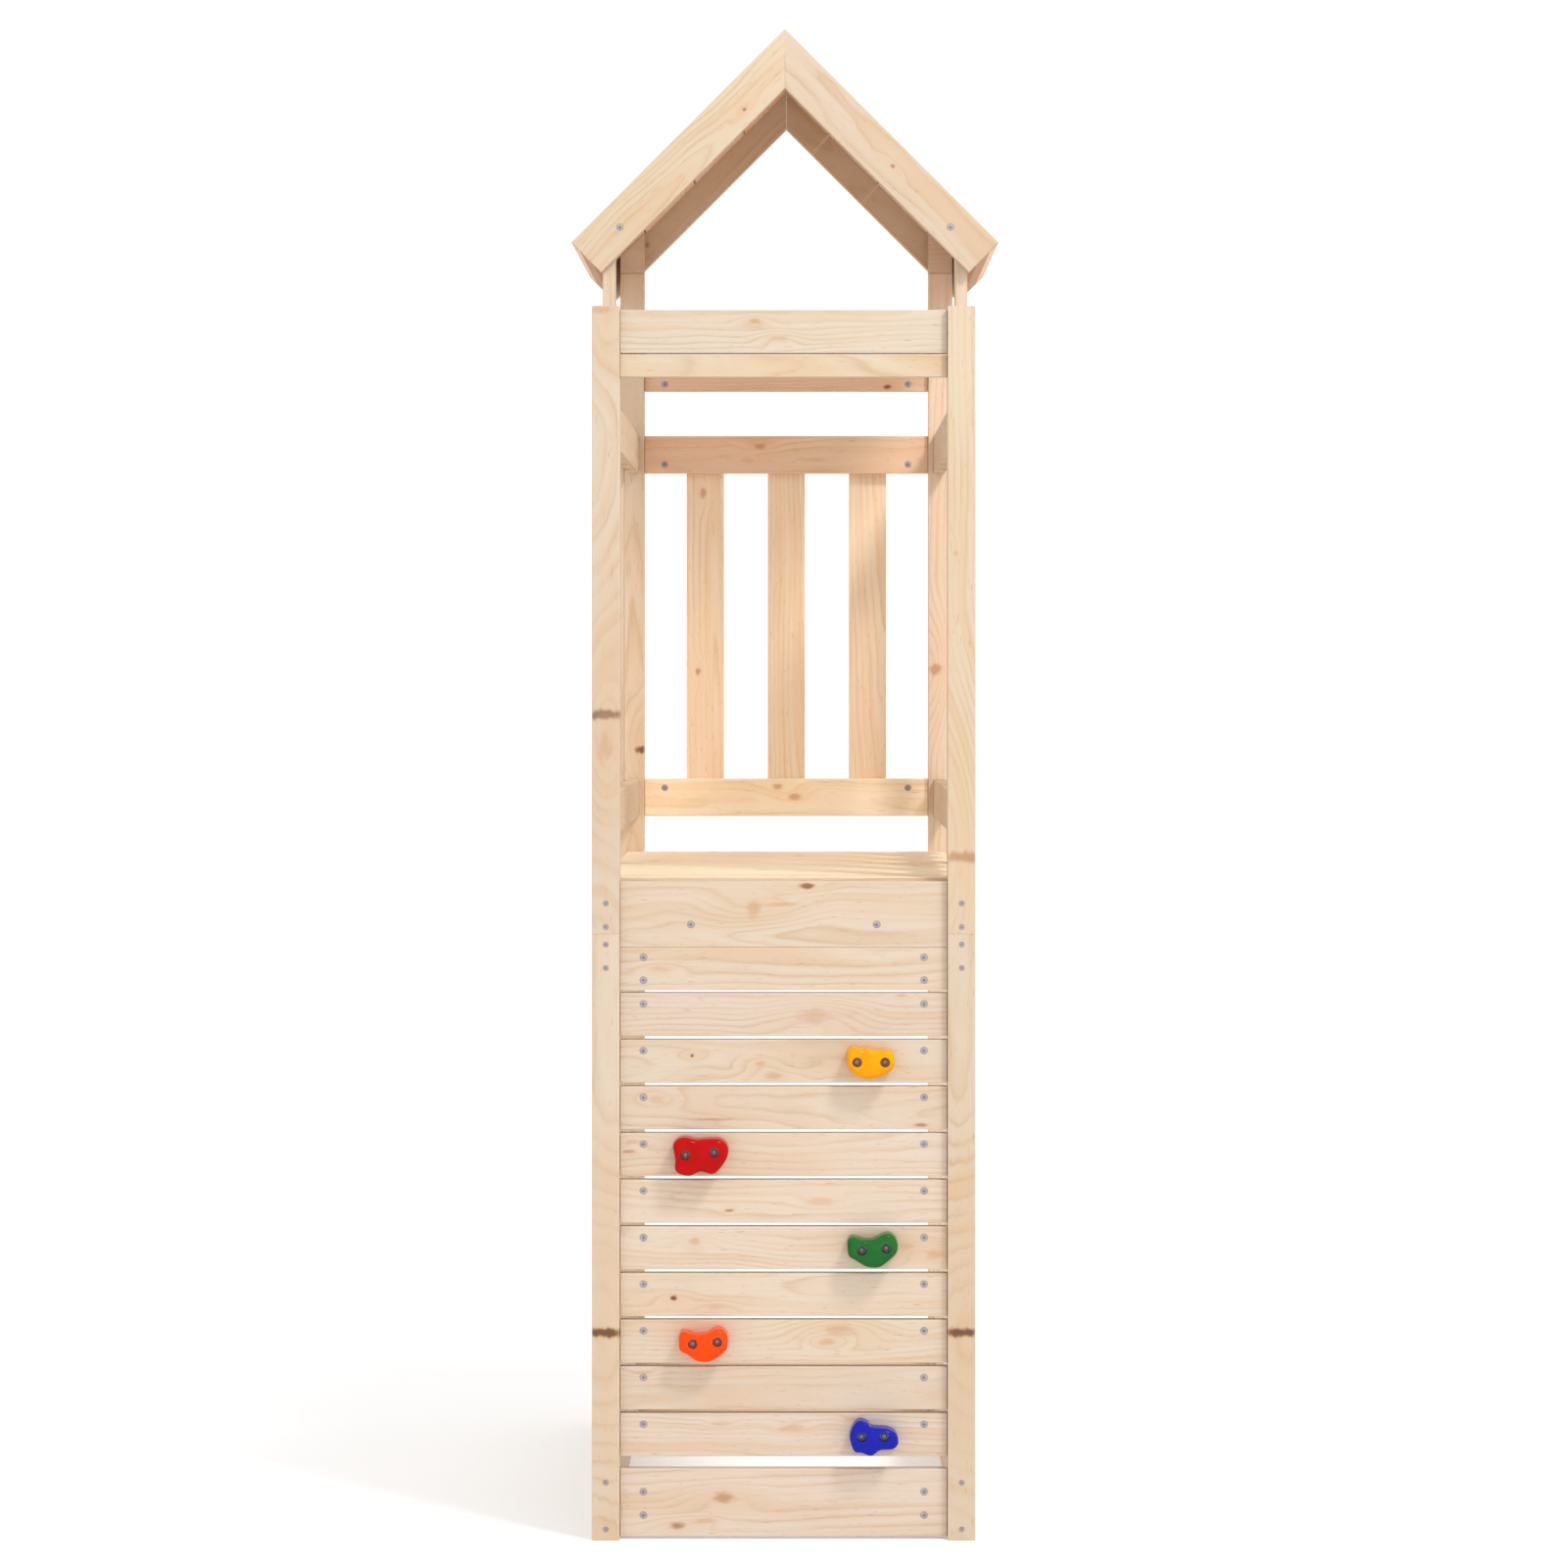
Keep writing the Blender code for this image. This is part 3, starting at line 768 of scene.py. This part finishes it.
class TOWER_OT_wall(Operator):
    """Make the climbing wall: kick board, planks, upper plank and sill, with their screws"""

    bl_idname = "tower.wall"
    bl_label = "Climbing wall"

    def execute(self, context):
        planks = [f"climbing_plank_{number:02d}" for number in range(1, 11)]
        places = []
        touching = ("upper_plank", "sill_board")
        for node in ("front_kick_board", *planks, *touching):
            low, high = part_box(node)
            ends, heights = (-SCREW_INSET, SCREW_INSET), (low.z + 0.0427,)
            if node == "front_kick_board":
                heights = KICK_SCREWS
            elif node == "upper_plank":
                heights = UPPER_PLANK_SCREWS
            elif node == "sill_board":
                ends, heights = (-0.1245, 0.1245), (0.8229,)
            screws = sunk_pair(low, high, ends, low.y, heights)
            board(node, RIGHT, -BACK, screws=screws, edge=0.0003 if node in touching else None)
            places += screws
        screw_set("wall_screws", places)
        return {"FINISHED"}


class TOWER_OT_headers(Operator):
    """Make the header board and the strip below it, over the doorway"""

    bl_idname = "tower.headers"
    bl_label = "Front header"

    def execute(self, context):
        sharp = 0.0005
        board("front_header_board", RIGHT, -BACK, tint=TONES_AND_PAINTED_LIGHT["header_board"], edge=sharp)
        board("front_header_strip", RIGHT, -BACK, tint=TONES_AND_PAINTED_LIGHT["header_strip"], edge=sharp, knots=())
        return {"FINISHED"}


class TOWER_OT_deck(Operator):
    """Make the deck boards, their two bearers and their screws"""

    bl_idname = "tower.deck"
    bl_label = "Deck"

    count: IntProperty(name="Boards", description="Number of deck boards", default=9, min=2)
    seam: length("Seam", "Gap between two deck boards", 0.0035)

    def execute(self, context):
        low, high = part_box("deck")
        pitch = (high.y - low.y) / self.count
        bearers = []
        for side, sign in (("left", -1), ("right", 1)):
            near, far = sorted((sign * high.x, sign * (high.x - BOARD)))
            space = (Vector((near, low.y, low.z)), Vector((far, high.y, high.z - BOARD - 0.0003)))
            name = f"deck_bearer_{side}"
            bearers.append(board(None, BACK, RIGHT * sign, name, space, tint=TONES_AND_PAINTED_LIGHT["deck_bearer"]))
        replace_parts(bearers[0], "deck")
        places = []
        for index in range(self.count):
            front = low.y + index * pitch + (self.seam / 2 if index else 0)
            back = low.y + (index + 1) * pitch - (self.seam / 2 if index < self.count - 1 else 0)
            name = f"deck_board_{index + 1}"
            space = (Vector((low.x, front, high.z - BOARD)), Vector((high.x, back, high.z)))
            rows = (front + 0.022, back - 0.022)
            screws = [((side * (high.x - BOARD / 2), y, high.z), UP) for side in (-1, 1) for y in rows]
            knots = few_knots(name, high.x, pitch / 2, 3)
            tint = TONES_AND_PAINTED_LIGHT["deck_board" if index else "first_deck_board"]
            board(None, RIGHT, UP, name, space, screws=screws, knots=knots, tint=tint)
            places += screws
        screw_set("deck_screws", places)
        return {"FINISHED"}


class TOWER_OT_rear_guard(Operator):
    """Make the rear header, guard rails, balusters and kick board"""

    bl_idname = "tower.rear_guard"
    bl_label = "Rear guard"

    def execute(self, context):
        places = []
        heights = {
            "rear_guard_top_rail": (1.4830,),
            "rear_guard_bottom_rail": (0.9830,),
            "rear_header_rail": (1.6073,),
            "rear_kick_board": KICK_SCREWS,
        }
        tints = dict.fromkeys(heights, TONES_AND_PAINTED_LIGHT["rear_rail"])
        tints["rear_guard_bottom_rail"] = TONES_AND_PAINTED_LIGHT["rear_bottom_rail"]
        for node, rows in heights.items():
            low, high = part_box(node)
            screws = sunk_pair(low, high, (-SCREW_INSET, SCREW_INSET), low.y, rows)
            options = {} if node in KNOTS else {"knots": few_knots(node, high.x, 0.025)}
            board(node, RIGHT, -BACK, screws=screws, tint=tints[node], **options)
            places += screws
        for number in range(1, 4):
            node = f"rear_baluster_{number}"
            low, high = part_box(node)
            rows = (low.z + 0.016, low.z + 0.038, high.z - 0.038, high.z - 0.016)
            middle = (low.x + high.x) / 2
            shifts = (-SCREW_STEP, SCREW_STEP, SCREW_STEP, -SCREW_STEP)
            screws = [((middle + shift, high.y, z), BACK) for shift, z in zip(shifts, rows)]
            knots = few_knots(node, (high.z - low.z) / 2, 0.025)
            board(node, UP, BACK, screws=screws, knots=knots, tint=TONES_AND_PAINTED_LIGHT["rear_baluster"])
            places += screws
        screw_set("rear_guard_screws", places)
        return {"FINISHED"}


class TOWER_OT_sides(Operator):
    """Make both sides: kick boards, guard rails, balusters and the roof's front uprights"""

    bl_idname = "tower.sides"
    bl_label = "Sides"

    def execute(self, context):
        for side, sign in (("left", -1), ("right", 1)):
            self.make_side(side, sign)
        return {"FINISHED"}

    def make_side(self, side, sign):
        outward = RIGHT * sign
        places = []
        node = f"{side}_kick_board"
        low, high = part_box(node)
        kick_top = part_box("front_kick_board")[1].z
        plank_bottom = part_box("climbing_plank_01")[0].z
        parts = ((node, low.z, kick_top), (f"{side}_kick_plank", plank_bottom, high.z))
        for name, bottom, top in parts:
            space = (Vector((low.x, low.y, bottom)), Vector((high.x, high.y, top)))
            knots = few_knots(name, (high.y - low.y) / 2, 0.025, 3)
            piece = board(None, BACK, outward, name, space, knots=knots)
            if name == node:
                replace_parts(piece, node)
        rails = [f"{side}_guard_bottom_rail", f"{side}_guard_top_rail"]
        for node in rails:
            low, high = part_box(node)
            board(node, BACK, outward, knots=few_knots(node, 0.4, 0.025, 3), tint=TONES_AND_PAINTED_LIGHT["side_rail"])
        rail_middles = [(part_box(node)[0].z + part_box(node)[1].z) / 2 for node in rails]
        for number in range(1, 5):
            node = f"{side}_baluster_{number}"
            low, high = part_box(node)
            places += self.outer_board(node, low, high, outward, rail_middles)
        node = f"{side}_roof_upright"
        low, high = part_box(node)
        places += self.outer_board(node, low, high, outward, [low.z + 0.029, *rail_middles])
        screw_set(f"{side}_side_screws", places)

    def outer_board(self, node, low, high, outward, heights):
        """An upright board on the outside of the rails, with two screws at each height."""
        face = high.x if outward.x > 0 else low.x
        middle = (low.y + high.y) / 2
        screws = []
        for z in heights:
            for shift, rise in ((-SCREW_STEP, -0.010), (SCREW_STEP, 0.010)):
                screws.append(((face, middle + shift, z + rise), outward))
        knots = few_knots(node, (high.z - low.z) / 2, 0.025)
        board(node, UP, outward, screws=screws, knots=knots, tint=TONES_AND_PAINTED_LIGHT["side_baluster"])
        return screws


def slope_axes(sign):
    """Directions down one roof slope and out of its top face."""
    down = Vector((sign * math.sin(SLOPE), 0, -math.cos(SLOPE)))
    out = Vector((sign * math.cos(SLOPE), 0, math.sin(SLOPE)))
    return down, out


def on_slope(sign, along, under, y):
    """A point of one roof slope, by its distance down the slope and below the slope's top face."""
    down, out = slope_axes(sign)
    return Vector((0, y, ROOF_TOP)) + down * along - out * under


class TOWER_OT_gables(Operator):
    """Make both gable boards, each of two halves that meet in a mitre at the ridge"""

    bl_idname = "tower.gables"
    bl_label = "Gables"

    def execute(self, context):
        for node in ("front_gable", "rear_gable"):
            low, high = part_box(node)
            facing_way, y = (-BACK, low.y) if node == "front_gable" else (BACK, high.y)
            depth = (low.y + high.y) / 2
            width = (high.z - low.z) * math.sqrt(2) - ROOF_LENGTH
            places = []
            for side, sign in (("left", -1), ("right", 1)):
                down = slope_axes(sign)[0]
                middle = on_slope(sign, ROOF_LENGTH / 2, width / 2, depth)
                size = (ROOF_LENGTH, width, high.y - low.y)
                cuts = [((sign * 0.00012, 0, 0), RIGHT * -sign)]
                foot = ROOF_LENGTH - 0.100
                screws = [(tuple(on_slope(sign, foot + 0.0015, width * 0.50, y)), facing_way)]
                if node == "front_gable":
                    screws = [((sign * 0.237, y, 1.7994), facing_way)]
                else:
                    screws.append(((sign * 0.032, y, 1.990), facing_way))
                name = f"{node}_{side}"
                knots = few_knots(name, 0.19, 0.02)
                options = {"screws": screws, "cuts": cuts, "knots": knots, "tint": TONES_AND_PAINTED_LIGHT["gable"]}
                piece = timber(name, middle, size, down, facing_way, **options)
                if sign < 0:
                    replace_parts(piece, node)
                places += screws
            screw_set(f"{node}_screws", places)
        return {"FINISHED"}


class TOWER_OT_roof(Operator):
    """Make the roof boards, the strips under their eaves and the screws"""

    bl_idname = "tower.roof"
    bl_label = "Roof"

    count: IntProperty(name="Boards", description="Number of boards on one slope", default=4, min=1)
    seam: length("Seam", "Gap between two roof boards", 0.003)

    def execute(self, context):
        pitch = ROOF_LENGTH / self.count
        front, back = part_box("left_roof_board_1")[0].y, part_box("left_roof_board_1")[1].y
        depth = (front + back) / 2
        for side, sign in (("left", -1), ("right", 1)):
            out = slope_axes(sign)[1]
            places = []
            for index in range(self.count):
                node = f"{side}_roof_board_{index + 1}"
                start = index * pitch + (self.seam / 2 if index else 0)
                end = (index + 1) * pitch - (self.seam / 2 if index < self.count - 1 else 0)
                middle = on_slope(sign, (start + end) / 2, BOARD / 2, depth)
                cuts = [] if index else [((sign * self.seam * 0.35, 0, 0), RIGHT * -sign)]
                line = (index + 0.5) * pitch
                screws = []
                for y in (front + BOARD / 2 + 0.002, back - BOARD / 2 - 0.002):
                    for shift in (-0.031, 0.031):
                        screws.append((tuple(on_slope(sign, line + shift, 0, y)), tuple(out)))
                size = (back - front, end - start, BOARD)
                knots = few_knots(node, size[0] / 2, size[1] / 2, 3)
                tint = TONES_AND_PAINTED_LIGHT["roof_board"]
                timber(node, middle, size, BACK, out, (node,), tint, screws, cuts=cuts, knots=knots)
                places += screws
            screw_set(f"{side}_roof_screws", places)
            self.make_below(side, sign, front, back)
        return {"FINISHED"}

    def make_below(self, side, sign, front, back):
        """The strip under the roof's eave."""
        down = slope_axes(sign)[0]
        node = f"{side}_eave_strip"
        middle = on_slope(sign, ROOF_LENGTH - BOARD / 2, BOARD + SNUG + EAVE_STRIP / 2, (front + back) / 2)
        size = (back - front, EAVE_STRIP, BOARD)
        timber(node, middle, size, BACK, down, (node,), TONES_AND_PAINTED_LIGHT["eave_strip"], knots=())


def curve_through(points, steps):
    """Points of a closed smooth curve through the given ones, with a number of steps between each two."""
    count = len(points)
    curve = []
    for index in range(count):
        before, here, after, beyond = (Vector(points[(index + shift) % count]) for shift in (-1, 0, 1, 2))
        for step in range(steps):
            t = step / steps
            pull = (after - before) * t + (2 * before - 5 * here + 4 * after - beyond) * t**2
            curve.append(here + (pull + (3 * here - before - 3 * after + beyond) * t**3) / 2)
    return curve


class TOWER_OT_grips(Operator):
    """Make the five moulded grips with their bolts and washers"""

    bl_idname = "tower.grips"
    bl_label = "Grips"

    outline_steps: steps("Outline steps", "Faces between two outline points", 10)
    rim_steps: steps("Rim steps", "Faces across the rounded rim", 8)

    def execute(self, context):
        for tone, (bolt, outline) in GRIPS.items():
            self.make_grip(context.scene.tower_grips, tone, bolt, outline)
        return {"FINISHED"}

    def make_grip(self, look, tone, bolt, outline):
        node = f"{tone}_grip"
        low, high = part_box(node)
        curve = curve_through(outline, self.outline_steps)
        # The curve's box and the frame's box share their edges, which gives the grip's middle.
        left, bottom = min(point.x for point in curve) * MM, min(point.y for point in curve) * MM
        middle = Vector((low.x - left, high.y, low.z - bottom))
        reach = high.y - low.y
        shape = bmesh.new()
        base = shape.faces.new([shape.verts.new((point.x * MM, point.y * MM, 0.0)) for point in curve])
        foot = 0.0006
        profile = [(foot, 0.0), (0.0, foot)]
        for step in range(self.rim_steps + 1):
            turn = step / self.rim_steps * math.pi / 2
            profile.append((look.rim * (1 - math.cos(turn)), reach - look.rim * (1 - math.sin(turn))))
        ring = base
        starts = [vert.co.copy() for vert in base.verts]
        for inset, height in profile[1:]:
            ring = bmesh.ops.extrude_discrete_faces(shape, faces=[ring])["faces"][0]
            for vert, start in zip(ring.verts, starts):
                narrowed = start * (1 - inset / start.length)
                vert.co = Vector((narrowed.x, narrowed.y, height))
        bmesh.ops.recalc_face_normals(shape, faces=shape.faces)
        forward = Matrix.Translation(middle) @ Matrix.Rotation(math.pi / 2, 4, "X")
        bmesh.ops.transform(shape, matrix=forward, verts=shape.verts)
        plastic = moulded(node, middle, tuple(getattr(look, tone)))
        piece = add_piece(node, shape, plastic, (node,), 32.0)
        places = [middle + Vector((side * bolt[0] * MM, -reach, side * bolt[1] * MM)) for side in (-1, 1)]
        cut_away(piece, self.recesses(look, places))
        even_shading(piece)
        self.make_bolts(look, node, places)

    def recesses(self, look, places):
        """Round holes for the bolt heads."""
        shape = bmesh.new()
        for place in places:
            round_hole = {"radius1": look.recess, "radius2": look.recess, "depth": 2 * look.recess_depth}
            verts = bmesh.ops.create_cone(shape, cap_ends=True, segments=40, **round_hole)["verts"]
            bmesh.ops.rotate(shape, matrix=Matrix.Rotation(math.pi / 2, 3, "X"), verts=verts)
            bmesh.ops.translate(shape, vec=place, verts=verts)
        return shape

    def make_bolts(self, look, node, places):
        """A washer and a domed bolt head at the bottom of each recess."""
        shape = bmesh.new()
        for place in places:
            floor = place + BACK * look.recess_depth
            washer = bmesh.ops.create_cone(
                shape, cap_ends=True, segments=32, radius1=0.0061, radius2=0.0060, depth=0.0012
            )["verts"]
            bmesh.ops.rotate(shape, matrix=facing(-BACK), verts=washer)
            bmesh.ops.translate(shape, vec=floor - BACK * 0.0008, verts=washer)
            head = bmesh.ops.create_uvsphere(shape, u_segments=24, v_segments=12, radius=0.0039)["verts"]
            bmesh.ops.scale(shape, vec=(1, 1, 0.55), verts=head)
            bmesh.ops.rotate(shape, matrix=facing(-BACK), verts=head)
            bmesh.ops.translate(shape, vec=floor - BACK * 0.0026, verts=head)
        bmesh.ops.recalc_face_normals(shape, faces=shape.faces)
        name = node.replace("grip", "grip_bolts")
        add_piece(name, shape, zinc(name, sum(places, Vector()) / 2), smooth_below=35.0)


class TOWER_OT_stage(Operator):
    """Make the floor, the white surroundings, the lights and the camera"""

    bl_idname = "tower.stage"
    bl_label = "Stage"

    def execute(self, context):
        look = context.scene.tower_stage
        self.make_floor(look)
        self.make_surroundings(look)
        self.make_key_light(look)
        self.make_camera()
        context.scene.view_settings.view_transform = "Standard"
        return {"FINISHED"}

    def make_floor(self, look):
        recipe = Recipe("pale_floor")
        place = recipe.place((0, 0, 0), Matrix.Identity(3))
        cloud = recipe.noise(recipe.stretched(place, (1.5, 1.5, 1.5)))
        body = recipe.blend(cloud, look.floor, shaded(look.floor, (0.99, 0.99, 0.99)))
        values = {"Base Color": body, "Roughness": 0.9, "Emission Color": body, "Emission Strength": 0.30}
        material = recipe.finish(values)
        shape = bmesh.new()
        bmesh.ops.create_grid(shape, x_segments=1, y_segments=1, size=60.0)
        mesh = bpy.data.meshes.new("floor")
        shape.to_mesh(mesh)
        shape.free()
        mesh.materials.append(material)
        floor = bpy.data.objects.new("floor", mesh)
        bpy.context.scene.collection.objects.link(floor)

    def make_surroundings(self, look):
        world = bpy.data.worlds.new("white_surroundings")
        bpy.context.scene.world = world
        world.use_nodes = True
        background = world.node_tree.nodes["Background"]
        background.inputs["Color"].default_value = (1.0, 1.0, 1.0, 1.0)
        background.inputs["Strength"].default_value = look.sky

    def make_key_light(self, look):
        light = bpy.data.lights.new("key_light", "AREA")
        light.shape = "DISK"
        light.size = look.key_size
        light.energy = look.key
        light.color = (1.0, 0.985, 0.96)
        lamp = bpy.data.objects.new("key_light", light)
        target = Vector((0, 0, 0.95))
        way = Vector((0.416, -0.520, 0.745))
        lamp.location = target + way * 5.0
        lamp.rotation_euler = way.to_track_quat("Z", "Y").to_euler()
        bpy.context.scene.collection.objects.link(lamp)

    def make_camera(self):
        camera = bpy.data.cameras.new("camera")
        camera.lens = 95.6
        camera.sensor_width = 36.0
        camera.shift_x = -0.0125
        camera.shift_y = -0.06875
        eye = bpy.data.objects.new("camera", camera)
        eye.location = (0.0267, -6.01475, 1.1557)
        eye.rotation_euler = (math.pi / 2, 0, 0)
        bpy.context.scene.collection.objects.link(eye)
        bpy.context.scene.camera = eye


class TOWER_PT_panel(Panel):
    """Sizes, colours and the steps that make the tower"""

    bl_idname = "TOWER_PT_panel"
    bl_label = "Climbing wall"
    bl_space_type = "VIEW_3D"
    bl_region_type = "UI"
    bl_category = "Climbing wall"

    def draw(self, context):
        for look in LOOKS:
            box = self.layout.box()
            group = getattr(context.scene, look)
            for key in group.__annotations__:
                box.prop(group, key)
        for step in STEPS:
            self.layout.operator(step.bl_idname)


LOOKS = {
    "tower_timber": TimberLook,
    "tower_screws": ScrewLook,
    "tower_grips": GripLook,
    "tower_stage": StageLook,
}
STEPS = (
    TOWER_OT_front_posts,
    TOWER_OT_rear_posts,
    TOWER_OT_wall,
    TOWER_OT_headers,
    TOWER_OT_deck,
    TOWER_OT_rear_guard,
    TOWER_OT_sides,
    TOWER_OT_gables,
    TOWER_OT_roof,
    TOWER_OT_grips,
    TOWER_OT_stage,
)


def register():
    for kind in (*LOOKS.values(), *STEPS, TOWER_PT_panel):
        bpy.utils.register_class(kind)
    for name, look in LOOKS.items():
        setattr(bpy.types.Scene, name, PointerProperty(type=look))


def unregister():
    for name in LOOKS:
        delattr(bpy.types.Scene, name)
    for kind in (TOWER_PT_panel, *reversed(STEPS), *reversed(LOOKS.values())):
        bpy.utils.unregister_class(kind)


def main():
    register()
    for step in STEPS:
        group, name = step.bl_idname.split(".")
        getattr(getattr(bpy.ops, group), name)()


if __name__ == "__main__":
    main()
